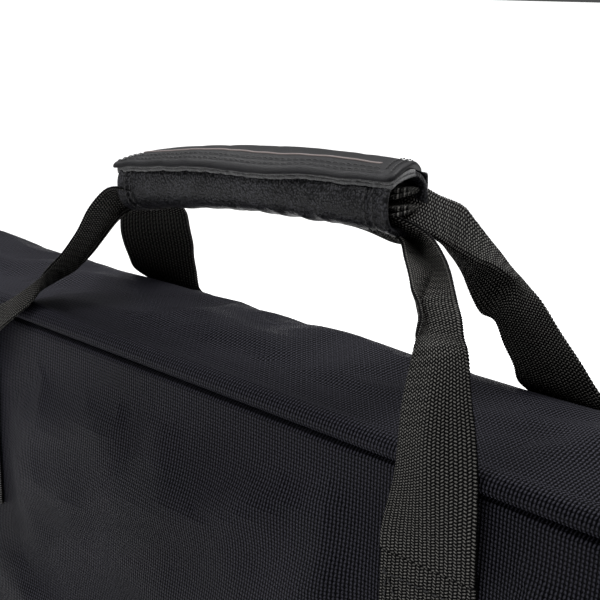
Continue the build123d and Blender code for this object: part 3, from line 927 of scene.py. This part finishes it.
def make_sleeve():
    """The pebble-grained tube round the webbings, with creases, end binding and stitching."""
    outer, inner = [], []
    count = 110
    for j in range(count + 1):
        t = j / count
        x = lerp(-72, 74, t)
        end = min(x + 72, 74 - x)
        pinch = 1.6 * math.exp(-((end - 7.5) / 1.6) ** 2) * 0.35 - 0.7 * math.exp(-(end / 1.6) ** 2)
        line, under = [], []
        for y, z, a in sleeve_ring(0.0):
            low = max(-math.sin(a), 0.0)
            front = max(-math.cos(a), 0.0)
            pucker = 0.5 * wave(x * 1.6, a * 9, 0, 9, 2.2) * (0.3 + low)
            pucker += 0.9 * crease(x, a * 10, 34, 46, 70, 14, 2.2, 1.0) * front
            pucker += 0.8 * crease(x, a * 10, 44, 44, 64, 12, 1.8, 1.0) * front
            pucker -= 0.7 * crease(x, a * 10, 39, 45, 68, 12, 1.6, 1.0) * front
            sag = 0.8 * wave(x, 0, 0, 30, 7.7) * low
            out = Vector((0, y, z + 1.4))
            out.normalize()
            size = pucker + sag - pinch
            line.append(Vector((x, y, z)) + out * size)
            under.append(Vector((x, y, z)) + out * (size - 2.6))
        outer.append(line)
        inner.append(under)
    lip = [[p.lerp(q, 0.5) + Vector((0.9 * sign, 0, 0)) for p, q in zip(outer[k], inner[k])]
           for k, sign in ((0, -1), (-1, 1))]
    rows = [lip[0]] + outer + [lip[1]] + inner[::-1] + [lip[0]]
    skin = grid_object("grip_sleeve_leatherette", place_in_grip(rows), SKIN, closed=True)
    apply_modifier(skin, "SUBSURF", levels=1)
    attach(skin, "handle")
    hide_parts("grip_sleeve_skin")

    def off_the_sleeve(p):
        return 0, p[1] - GRIP.y, p[2] - GRIP.z - p[0] * math.tan(GRIP_TILT)

    threads = []
    for offset in (5.5, 9.0):
        for sign in (-1, 1):
            x = sign * (73 + sign - offset)
            path = [grip_point(x, y * 1.02, -1.4 + (z + 1.4) * 1.02) for y, z, a in sleeve_ring(-0.1)]
            threads.append(stitch_row("sleeve_stitch", path + path[:1], off_the_sleeve, pitch=3.0, length=2.2))
    stitches = join("grip_sleeve_stitching", threads)
    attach(stitches, "handle")

    rows = []
    for x in (-68, -60, -30, 0, 30, 60, 66):
        rows.append([Vector((x, y, z)) for y, z, a in sleeve_ring(2.9, 48)])
    for x in (66, 60, 30, 0, -30, -60, -68):
        rows.append([Vector((x, y, z)) for y, z, a in sleeve_ring(4.6, 48)])
    pad = grid_object("grip_padding", place_in_grip(rows + rows[:1]), FOAM, closed=True)
    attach(pad, "handle")
    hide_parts("grip_sleeve_pad")


def flap_top(x, y):
    """Height of the flap's upper face in the grip's frame."""
    crown = 12.2 - 0.012 * (y - 2) ** 2 - (0.045 * (y - 9) ** 2 if y > 9 else 0)
    droop = 1.2 * smooth(-14, -20, y)
    wavy = 0.9 * wave(x, 0, 0, 34, 1.1) * smooth(4, -16, y) + 0.3 * wave(x, y, 0, 9, 4.0)
    left = 1.4 * smooth(-60, -78, x)
    return crown - droop + wavy - left


def flap_front(x):
    """Where the flap's front edge lies."""
    return -18.2 - 1.3 * wave(x, 0, 0, 40, 9.3) + 0.0007 * x * x


def make_flap():
    """The smooth top flap with its stitched border, the raised line and the strips under it."""
    count, lines = 150, 40
    top, under = [], []
    for j in range(count + 1):
        x = lerp(-79, 78, j / count)
        end = min(x + 79, 78 - x)
        rounding = 5.0 * (1 - math.sqrt(max(1 - (1 - min(end / 6.0, 1.0)) ** 2, 0.0)))
        line, low = [], []
        for i in range(lines + 1):
            y = lerp(flap_front(x) + rounding, 15.2, i / lines)
            z = flap_top(x, y)
            rim = min(y - flap_front(x) - rounding, end)
            groove = -0.35 * math.exp(-((rim - 3.0) / 0.5) ** 2) - 0.3 * math.exp(-((rim - 6.0) / 0.5) ** 2)
            fall = 0.7 * math.exp(-(rim / 0.6) ** 2)
            line.append(Vector((x, y, z + groove - fall)))
            low.append(Vector((x, y, z - 1.9 + fall * 0.6)))
        top.append(line)
        under.append(low)
    rows = [line + low[::-1] for line, low in zip(top, under)]
    flap = grid_object("grip_flap_leatherette", place_in_grip(rows, 0.42), FLAP, closed=True, cap=True)
    apply_modifier(flap, "SUBSURF", levels=1)
    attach(flap, "flap")
    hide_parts("grip_flap")

    rows = []
    for j in range(100):
        x = lerp(-72, 74, j / 99)
        wall = ((13.2, -7), (14.6, -3), (15.5, 1), (15.9, 4), (15.9, 6), (15.6, 7.5))
        rows.append([grip_point(x, y + 0.3 * wave(x, z, 0, 14, 6.0), z) for y, z in wall])
    fold = grid_object("grip_flap_fold_leatherette", rows, SKIN, thickness=1.3)
    apply_modifier(fold, "SUBSURF", levels=1)
    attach(fold, "handle")

    def up(p):
        return 0, 0, 1

    threads = []
    for inset in (3.0, 6.0):
        front = [grip_point(x, flap_front(x) + inset, flap_top(x, flap_front(x) + inset) + 0.1, 0.42)
                 for x in range(-76 + int(inset), 76 - int(inset), 3)]
        threads.append(stitch_row("flap_front_stitch", front, up, pitch=3.0, length=2.2, radius=0.2))
        for x in (-79 + inset, 78 - inset):
            steps = [lerp(flap_front(x) + inset, 13, k / 10) for k in range(11)]
            side = [grip_point(x, y, flap_top(x, y) + 0.1, 0.42) for y in steps]
            threads.append(stitch_row("flap_side_stitch", side, up, pitch=3.0, length=2.2, radius=0.2))
    stitches = join("grip_flap_stitching", threads)
    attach(stitches, "flap")

    rows = []
    for j in range(90):
        x = lerp(-66, 66, j / 89)
        y = flap_front(x) + 10.5 + 0.6 * wave(x, 0, 0, 20, 2.0)
        z = flap_top(x, y)
        rows.append([grip_point(x, y + 0.6 * math.cos(a), z + 0.45 * math.sin(a))
                     for a in (math.pi * k / 4 for k in range(8))])
    cord = grid_object("grip_flap_raised_line", rows, PALE_THREAD, closed=True, cap=True)
    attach(cord, "flap")

    strips = (("grip_hook_strip", "flap", -2.05, 1.0), ("grip_loop_strip", "handle", -3.3, 5.0))
    for node, body, high, seed in strips:
        rows = []
        for j in range(121):
            x = lerp(-74, 76, j / 120)
            line, low = [], []
            for i in range(26):
                y = lerp(flap_front(x) + 1.6 + 0.5 * wave(x, 0, 0, 3, seed), 3, i / 25)
                z = flap_top(x, y) + high
                fluff = 0.22 * wave(x * 3, y * 3, 0, 4, seed)
                line.append(Vector((x, y, z + fluff)))
                low.append(Vector((x, y, z - 1.1 + fluff)))
            rows.append(line + low[::-1])
        strip = grid_object(node + "_pile", place_in_grip(rows), PILE, closed=True, cap=True)
        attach(strip, body)
        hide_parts(node)


def make_runs():
    """The two webbings inside the grip, each doubled lengthways."""
    for node, height in (("strap_near_run", -4.6), ("strap_far_run", 1.6)):
        stations = []
        for x in (-73, -40, 0, 40, 73):
            lower, fold = grip_point(x, -8.5, height), grip_point(x, 9.5, height + 0.3)
            stations.append((lower, fold, grip_point(x, -8.5, height + 2.4)))
        run = band(node + "_webbing", stations, columns=48, step=2.0, relief=0.05)
        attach(run, "handle")
        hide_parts(node)


# ---------------------------------------------------------------- zips

def tooth_row(name, path, across, out, pitch=1.5, reach=1.9, radius=0.42):
    """A row of coil teeth along a path; across(i) points to the other half and out(i) off the cloth."""
    verts, faces = [], []
    loops = ((0.0, -0.25, 0.9), (0.45, 0.5, 1.0), (0.85, 0.62, 1.0), (1.0, 0.1, 1.15), (0.8, -0.5, 0.9))
    carry = 0.0
    for k, (a, b) in enumerate(zip(path, path[1:])):
        span = (b - a).length
        ahead = (b - a) / span
        inward, up = across(k), out(k)
        place = carry
        while place < span:
            base = len(verts)
            for n, (far, high, scale) in enumerate(loops):
                centre = a + ahead * place + inward * reach * far + up * high
                for m in range(5):
                    angle = 2 * math.pi * m / 5
                    verts.append(centre + (ahead * math.cos(angle) + up * math.sin(angle)) * radius * scale)
                if n:
                    for m in range(5):
                        p = (m + 1) % 5
                        low, high_row = base + (n - 1) * 5, base + n * 5
                        faces.append((low + m, low + p, high_row + p, high_row + m))
            faces.append(tuple(base + m for m in reversed(range(5))))
            faces.append(tuple(base + 20 + m for m in range(5)))
            place += pitch
        carry = place - span
    return make_object(name, verts, faces, None, COIL)


def zip_path(y, out, low):
    """The open route of the zip: up the left end, along the top and down the right end."""
    points = ring(y, out)
    top_start = 2 * RING_CORNER + RING_SIDE + RING_BASE + RING_CORNER + RING_SIDE
    left_start, right_end = top_start - RING_SIDE - RING_CORNER, 2 * RING_CORNER + RING_SIDE + 1
    ordered = points[left_start:] + points[:right_end]
    return [p for p in ordered if p.z >= low]


def make_main_zip():
    for side, sign, body in (("shell", -1, "shell"), ("lid", 1, "lid")):
        rows = []
        for reach in (ZIP_GAP + 2.5, ZIP_GAP, 3.8, 2.6, 1.5):
            y = ZIP_Y + sign * reach
            rows.append(zip_path(y, -0.9 if reach > ZIP_GAP else -0.35, 12.4))
        count = min(len(row) for row in rows)
        rows = [row[(len(row) - count) // 2:][:count] for row in rows]
        tape = grid_object(f"zip_tape_{side}_weave", rows, TAPE, thickness=0.5 * sign)
        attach(tape, body)
        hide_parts(f"zip_tape_{side}")
        path = zip_path(ZIP_Y + sign * 2.05, -0.1, 22)
        middle = [Vector((p.x, ZIP_Y, p.z)) for p in zip_path(ZIP_Y, -0.1, 22)]
        count = min(len(path), len(middle))
        across = [(middle[k] - path[k]).normalized() for k in range(count)]
        aheads = [path[min(k + 1, count - 1)] - path[max(k - 1, 0)] for k in range(count)]
        ups = [ahead.cross(side_way).normalized() for ahead, side_way in zip(aheads, across)]
        ups = [u if u.dot(path[k] - Vector((0, 0, 180))) > 0 else -u for k, u in enumerate(ups)]
        coil = tooth_row(f"zip_coil_{side}_teeth", path[:count], lambda k: across[k], lambda k: ups[k])
        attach(coil, body)
        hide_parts(f"zip_coil_{side}")


def make_seam_stitching():
    """Topstitching beside the zip on the shell and on the lid."""
    def out(p):
        return max(abs(p[0]) - 440, 0) * math.copysign(1, p[0]), 30, max(p[2] - CORNER_TOP, 0)

    for side, sign, body in (("shell", -1, "shell"), ("lid", 1, "lid")):
        path = zip_path(ZIP_Y + sign * (ZIP_GAP + 2.5), 0.25 if sign < 0 else 0.15, 20)
        row = stitch_row(f"zip_topstitch_{side}", path, out, pitch=4.0, length=2.9, radius=0.3)
        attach(row, body)


# ---------------------------------------------------------------- hinge, pocket, linings, rings

def make_hinge():
    """The fabric that the lid folds down on, from the underside up onto the lid."""
    profile = [(30, 0.3), (38, 0.3), (44, 0.4)]
    profile += [(44.6 + 12.2 * math.sin(math.radians(a)), 12.4 - 12.2 * math.cos(math.radians(a)))
                for a in range(12, 91, 13)]
    profile += [(57.0, 13.2), (57.1, 15.0), (57.1, 18.0), (57.0, 22.0)]
    rows = []
    for y, z in profile:
        half = 440 + 4 * smooth(0, 12, z) - 6 * smooth(15, 22, z)
        rows.append([Vector((lerp(-half, half, k / 160), y + 0.2 * wave(k * 6, y, z, 12, 3.3), z))
                     for k in range(161)])
    hinge = grid_object("lid_hinge_cloth", rows, COVER, thickness=0.9)
    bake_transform(hinge)
    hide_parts("lid_hinge_strip")


def make_pocket():
    """The patch pocket: a soft panel with a turned hem, its zip and stitching."""
    half, low, high = 320.0, 60.0, 250.0

    def face(x, z):
        edge = min(half - abs(x), z - low, high - z)
        puff = 1.6 * smooth(0, 60, edge) + 1.4 * wave(x * 0.8, 0, z, 60, 11.0) * smooth(4, 40, edge)
        puff += 0.6 * wave(x, 0, z, 20, 12.0) * smooth(4, 30, edge)
        hem = 0.8 * math.exp(-((edge - 8) / 2.0) ** 2)
        return FAR + 2.1 + max(puff, 0) - hem * 0.6 - 1.5 * math.exp(-(edge / 1.2) ** 2)

    columns, lines = 200, 64
    rows = []
    for j in range(lines + 1):
        z = lerp(low, high, j / lines)
        rows.append([Vector((lerp(-half, half, i / columns), face(lerp(-half, half, i / columns), z), z))
                     for i in range(columns + 1)])
    panel = grid_object("pocket_panel_cloth", rows, COVER, uv=upright, thickness=1.4)
    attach(panel, "lid")
    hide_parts("pocket_panel")

    def out(p):
        return 0, 1, 0

    threads = []
    for inset in (3.0, 9.0):
        edge, foot = half - inset, low + inset
        corners = [(-edge, high - 2), (-edge, foot), (edge, foot), (edge, high - 2)]
        line = []
        for (xa, za), (xb, zb) in zip(corners, corners[1:]):
            line += [(lerp(xa, xb, k / 60), za, zb, k) for k in range(60)]
        path = [Vector((x, 0, lerp(za, zb, k / 60))) for x, za, zb, k in line]
        path = [Vector((p.x, face(p.x, p.z) + 0.1, p.z)) for p in path]
        threads.append(stitch_row("pocket_stitch", path, out, pitch=4.0, length=2.9, radius=0.3))
    stitches = join("pocket_stitching", threads)
    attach(stitches, "lid")

    tapes = []
    for z_low, z_high, y_low, y_high in ((249, 260.2, 2.2, 1.8), (263.8, 277, 1.8, 1.2)):
        rows = []
        for t in (0, 0.25, 0.5, 0.75, 1.0):
            y, z = FAR + 0.4 + lerp(y_low, y_high, t), lerp(z_low, z_high, t)
            rows.append([Vector((lerp(-half, half, k / 120), y, z)) for k in range(121)])
        tapes.append(grid_object("tape", rows, TAPE, thickness=0.6))
    tape = join("pocket_zip_tape_weave", tapes)
    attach(tape, "lid")
    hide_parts("pocket_zip_tapes")
    coils = []
    for sign in (-1, 1):
        path = [Vector((lerp(-half, half, k / 40), FAR + 2.1, 262 + sign * 2.0)) for k in range(41)]
        inwards, off_cloth = Vector((0, 0, -sign)), Vector((0, 1, 0))
        coils.append(tooth_row("coil", path, lambda k: inwards, lambda k: off_cloth))
    coil = join("pocket_zip_teeth", coils)
    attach(coil, "lid")
    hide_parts("pocket_zip_coils")


def make_linings():
    """Thin inner cloths that hang a little slack on the foam."""
    insets = insets_to_middle((9.4, 11, 14, 18), 6.0, RIDGE_Z / 2)

    def shape(x, z, inset):
        return NEAR + 9.4 + max(0.9 + 1.6 * wave(x, 0, z, 60, 20.0) + 0.7 * wave(x, 0, z, 20, 22.0), 0)

    rows = panel_rows(NEAR, insets, shape)
    near = grid_object("lining_near_cloth", rows, LINING, closed=True, uv=upright, thickness=0.5)
    weld(near)
    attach(near, "shell")
    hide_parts("lining_near_panel")

    rows = []
    depths = [lerp(-46.6, 31.0, k / 20) for k in range(21)]
    for y in depths:
        rows.append([p for p in ring(y, -9.3 - max(0.6 + 0.8 * wave(y, 0, 0, 30, 1.0), 0))])
    for y, out in ((32.4, -8.8), (32.6, -6.0), (32.6, -3.0), (34.0, -1.4)):
        rows.append(ring(y, out))
    gusset = grid_object("lining_gusset_cloth", rows, LINING, closed=True, thickness=-0.4)
    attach(gusset, "shell")
    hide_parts("lining_gusset")

    rows = []
    for y, inset in ((48.4, 0.6), (47.7, 1.2), (47.3, 3.0), (47.1, 8.0)):
        rows.append([Vector((p.x, y, max(p.z, LID_LOW + 0.8 + inset * 0.3))) for p in ring(48.0, -inset)])
    for inset in insets_to_middle((13, 18), 6.0, half_height(48.0)):
        row = []
        for p in ring(48.0, -inset):
            z = max(p.z, LID_LOW + inset * 0.3)
            slack = max(0.8 + 1.5 * wave(p.x, 5, z, 60, 30.0) + 0.6 * wave(p.x, 5, z, 20, 31.0), 0)
            row.append(Vector((p.x, 47.0 - slack, z)))
        rows.append(row)
    lid = grid_object("lining_lid_cloth", rows, LINING, closed=True, uv=upright, thickness=-0.5)
    weld(lid)
    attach(lid, "lid")
    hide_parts("lining_lid")


def make_foam():
    """The padding: cut foam with soft edges, bowed a little by the cloth drawn over it."""
    def slab(name, outer, inner, inset, node, body, low=0.0):
        rows = []
        rims = insets_to_middle((inset + 1.6, inset + 4, inset + 10), 9.0, half_height(outer))
        thick = inner - outer
        profile = [(outer, i) for i in rims[::-1]]
        profile += [(outer + thick * 0.25, inset), (outer + thick * 0.75, inset)]
        profile += [(inner, i) for i in rims]
        for y, i in profile:
            row = []
            for p in ring(outer, -i):
                soft = 0.35 * wave(p.x, y, p.z, 40, 2.0) * smooth(inset, inset + 14, i)
                row.append(Vector((p.x, y + soft, max(p.z, low))))
            rows.append(row)
        foam = grid_object(name, rows, FOAM, closed=True)
        weld(foam)
        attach(foam, body)
        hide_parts(node)

    slab("foam_near_padding", -54.0, -47.8, 9.6, "foam_near_panel", "shell")
    slab("foam_lid_padding", 54.2, 48.6, 10.2, "foam_lid", "lid", LID_LOW + 1.5)
    rows = []
    profile = [(-45.6, -2.6), (-46.6, -4.2), (-46.6, -7.0), (-45.6, -8.4)]
    inner = [(lerp(-42, 29, k / 12), -8.7 + 0.2 * math.sin(k)) for k in range(13)]
    rim = [(30.8, -8.2), (31.6, -6.6), (31.6, -4.0), (30.8, -2.4)]
    outer = [(lerp(28, -43, k / 12), -2.0 - 0.2 * math.sin(k)) for k in range(13)]
    profile = profile + inner + rim + outer
    for y, out in profile + profile[:1]:
        rows.append(ring(y, out))
    foam = grid_object("foam_gusset_padding", rows, FOAM, closed=True)
    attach(foam, "shell")
    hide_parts("foam_top", "foam_bottom", "foam_left", "foam_right")


def make_ring_tabs():
    """Doubled webbing tabs that hold the strap rings."""
    ring_x, ring_y, ring_z = 494.3, -8.0, 280.0
    for name, sign in (("left", -1), ("right", 1)):
        path = [(ring_x - 3.3, 314), (ring_x - 3.3, 300), (ring_x - 3.3, 284)]
        path += [(ring_x - 3.3 * math.cos(math.radians(a)), ring_z - 3.3 * math.sin(math.radians(a)))
                 for a in range(10, 171, 32)]
        path += [(ring_x + 2.4, 284.5), (ring_x - 0.6, 292), (ring_x - 1.3, 302), (ring_x - 1.3, 314)]
        stations = flat_stations([(sign * x, ring_y, z) for x, z in path], (0, 1, 0), width=24.0)
        tab = band(f"strap_ring_tab_{name}_webbing", stations, columns=30, relief=0.09)
        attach(tab, "shell")
        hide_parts(f"strap_ring_tab_{name}")
        corners = [(-9, 296), (9, 296), (9, 311), (-9, 311), (-9, 296), (9, 311), (9, 296), (-9, 311)]
        line = [(sign * (ring_x + (0.2 if z < 300 else -0.3)), ring_y + y, z) for y, z in corners]
        threads = stitch_row(f"strap_ring_tab_{name}_stitching", line, lambda p: (sign, 0, 0),
                             pitch=3.0, length=2.2)
        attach(threads, "shell")


def finish_cad_nodes():
    """Materials of the pieces that keep their own solid shape."""
    for node in ("slider_left", "slider_right", "slider_pull_left", "slider_pull_right", "pocket_slider",
                 "pocket_pull", "strap_ring_left", "strap_ring_right", "zip_end_stops"):
        paint(node, LACQUER)


def paint(node, material):
    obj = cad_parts[node]
    obj.data.materials.clear()
    obj.data.materials.append(material)


def make_cover():
    gusset = make_gusset()
    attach(gusset, "shell")
    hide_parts("cover_top_gusset", "cover_bottom_gusset", "cover_left_gusset", "cover_right_gusset")
    near = make_near_panel()
    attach(near, "shell")
    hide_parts("cover_near_panel")
    lid = make_lid()
    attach(lid, "lid")
    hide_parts("cover_lid")


# ---------------------------------------------------------------- stage

def make_camera():
    yaw, pitch, roll = math.radians(45), math.radians(14.7), math.radians(1.4)
    back = Vector((math.sin(yaw) * math.cos(pitch), -math.cos(yaw) * math.cos(pitch), math.sin(pitch)))
    side = Vector((0, 0, 1)).cross(back).normalized()
    up = back.cross(side)
    right = side * math.cos(roll) + up * math.sin(roll)
    above = up * math.cos(roll) - side * math.sin(roll)
    data = bpy.data.cameras.new("camera")
    data.lens, data.sensor_width = 72.0, 36.0
    data.clip_start, data.clip_end = 0.01, 60.0
    camera = bpy.data.objects.new("camera", data)
    bpy.context.scene.collection.objects.link(camera)
    turn = Matrix((right, above, back)).transposed().to_4x4()
    camera.matrix_world = Matrix.Translation(Vector((0.328, -0.325, 0.498))) @ turn
    bpy.context.scene.camera = camera


def area_light(name, place, target, size, power):
    data = bpy.data.lights.new(name, "AREA")
    data.shape = "SQUARE"
    data.size = size
    data.energy = power
    light = bpy.data.objects.new(name, data)
    bpy.context.scene.collection.objects.link(light)
    direction = Vector(target) - Vector(place)
    turn = direction.to_track_quat("-Z", "Y").to_matrix().to_4x4()
    light.matrix_world = Matrix.Translation(Vector(place)) @ turn


def make_sky():
    """A soft white tent: bright overhead and dimmer towards the horizon."""
    world = bpy.data.worlds.new("studio")
    world.use_nodes = True
    tree = world.node_tree
    place = tree.nodes.new("ShaderNodeTexCoord")
    split = tree.nodes.new("ShaderNodeSeparateXYZ")
    ramp = tree.nodes.new("ShaderNodeMapRange")
    ramp.inputs["From Min"].default_value = 0.3
    ramp.inputs["From Max"].default_value = 0.9
    ramp.inputs["To Min"].default_value = 0.08
    ramp.inputs["To Max"].default_value = 2.3
    tree.links.new(place.outputs["Generated"], split.inputs[0])
    tree.links.new(split.outputs["Z"], ramp.inputs["Value"])
    background = tree.nodes["Background"]
    background.inputs["Color"].default_value = (1, 1, 1, 1)
    tree.links.new(ramp.outputs[0], background.inputs["Strength"])
    bpy.context.scene.world = world
    bpy.context.scene.view_settings.view_transform = "Standard"


def make_stage():
    size = 60000.0
    corners = [(-size, -size, 0), (size, -size, 0), (size, size, 0), (-size, size, 0)]
    floor_shader = Shader("pale_floor", (0.85, 0.85, 0.85), 0.8, Specular_IOR_Level=0.1)
    floor_shader.color(floor_shader.noise(3.0), [(0.3, (0.845, 0.845, 0.845)), (0.7, (0.855, 0.855, 0.855))])
    floor = make_object("studio_floor", corners, [(0, 1, 2, 3)], None, floor_shader.material, shade=False)
    make_sky()
    area_light("key", (0.15, 0.7, 1.5), (0, 0, 0.4), 0.6, 18)
    area_light("front", (-0.5, -1.0, 1.6), (0, 0, 0.4), 0.5, 16)
    area_light("side", (-1.4, 0.3, 1.8), (0, 0, 0.4), 0.5, 10)


make_camera()
make_stage()
make_cover()
make_legs()
make_sewn_ends()
make_sleeve()
make_flap()
make_runs()
make_main_zip()
make_seam_stitching()
make_hinge()
make_pocket()
make_linings()
make_foam()
make_ring_tabs()
finish_cad_nodes()
